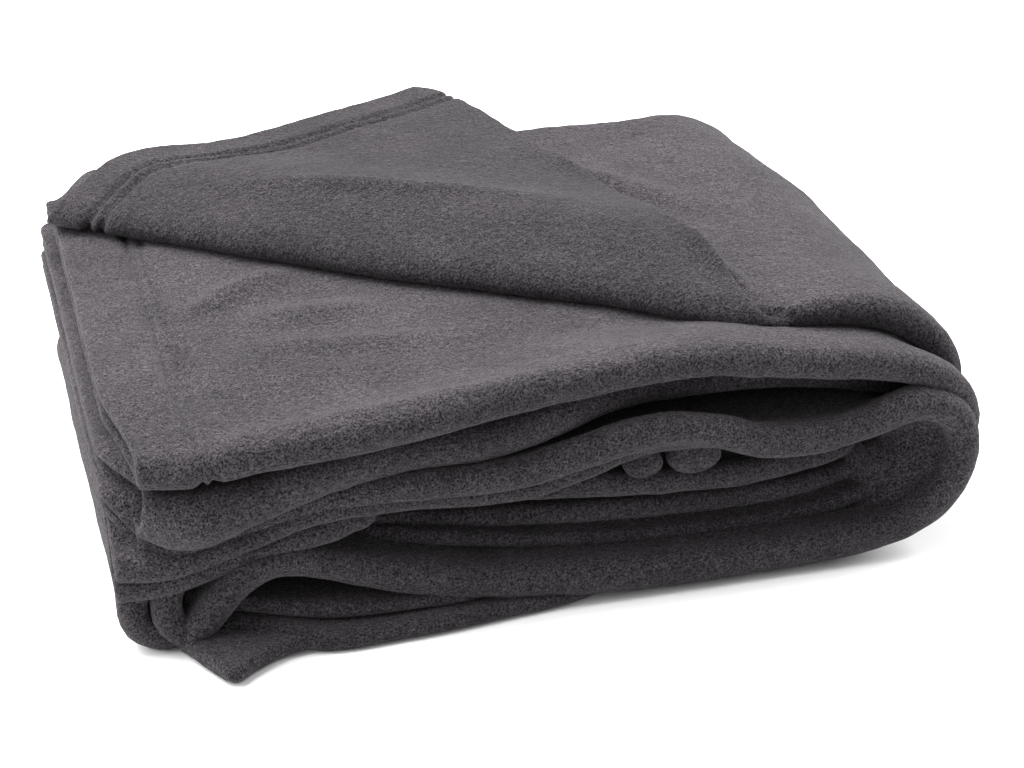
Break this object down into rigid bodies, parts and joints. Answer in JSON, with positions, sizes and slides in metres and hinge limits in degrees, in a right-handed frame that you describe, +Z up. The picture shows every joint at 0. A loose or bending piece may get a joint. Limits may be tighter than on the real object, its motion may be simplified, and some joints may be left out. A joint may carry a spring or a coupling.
{
  "type": "folded throw blanket",
  "caption": "Plush throw folded into a low stack with rounded end folds, stacked front folds and a top corner turned back along a diagonal.",
  "frame": {"origin": "centre of the stack's flat underside, midway across the width from hems to end folds and midway across the depth", "axes": "+X points to the rounded end folds, -Y to the rounded front folds, +Z up"},
  "size_m": [0.4482, 0.422, 0.1333],
  "materials": {
    "plush": "deep soft pile with a velvet sheen, charcoal grey",
    "hem": "the same pile, doubled and stitched down flat",
    "thread": "matt sewing thread sunk in the pile"
  },
  "bodies": {
    "lower_half": {"bottom_strip_lower_leaf": "plush", "bottom_strip_upper_leaf": "plush", "second_strip_lower_leaf": "plush", "second_strip_upper_leaf": "plush", "left_fold_outer": "plush", "left_fold_inner": "plush", "outer_end_fold": "plush", "inner_end_fold": "plush", "bottom_corner": "plush"},
    "upper_half": {"third_strip_lower_leaf": "plush", "third_strip_upper_leaf": "plush", "third_strip_lower_hem": "hem", "third_strip_upper_hem": "hem", "top_strip_lower_leaf": "plush", "top_strip_hem": "hem", "top_strip_hem_stitches": "thread", "top_strip_upper_leaf": "plush", "diagonal_fold": "plush", "inner_roll_left": "plush", "inner_roll_right": "plush"},
    "turned_corner": {"turned_corner_leaf": "plush", "turned_corner_hem": "hem", "turned_corner_outer_stitches": "thread", "turned_corner_inner_stitches": "thread"}
  },
  "joints": [
    {"name": "upper_half_opening", "type": "hinge", "parent": "lower_half", "child": "upper_half", "pos_m": [0.1625, 0, 0.067], "axis": [0, 1, 0], "range_deg": [0, 180], "deforming": ["outer_end_fold", "inner_end_fold"]},
    {"name": "corner_unfolding", "type": "hinge", "parent": "upper_half", "child": "turned_corner", "pos_m": [-0.22, 0.12, 0.1229], "axis": [0.8616, -0.5075, 0], "range_deg": [0, 178], "deforming": ["diagonal_fold"]}
  ]
}
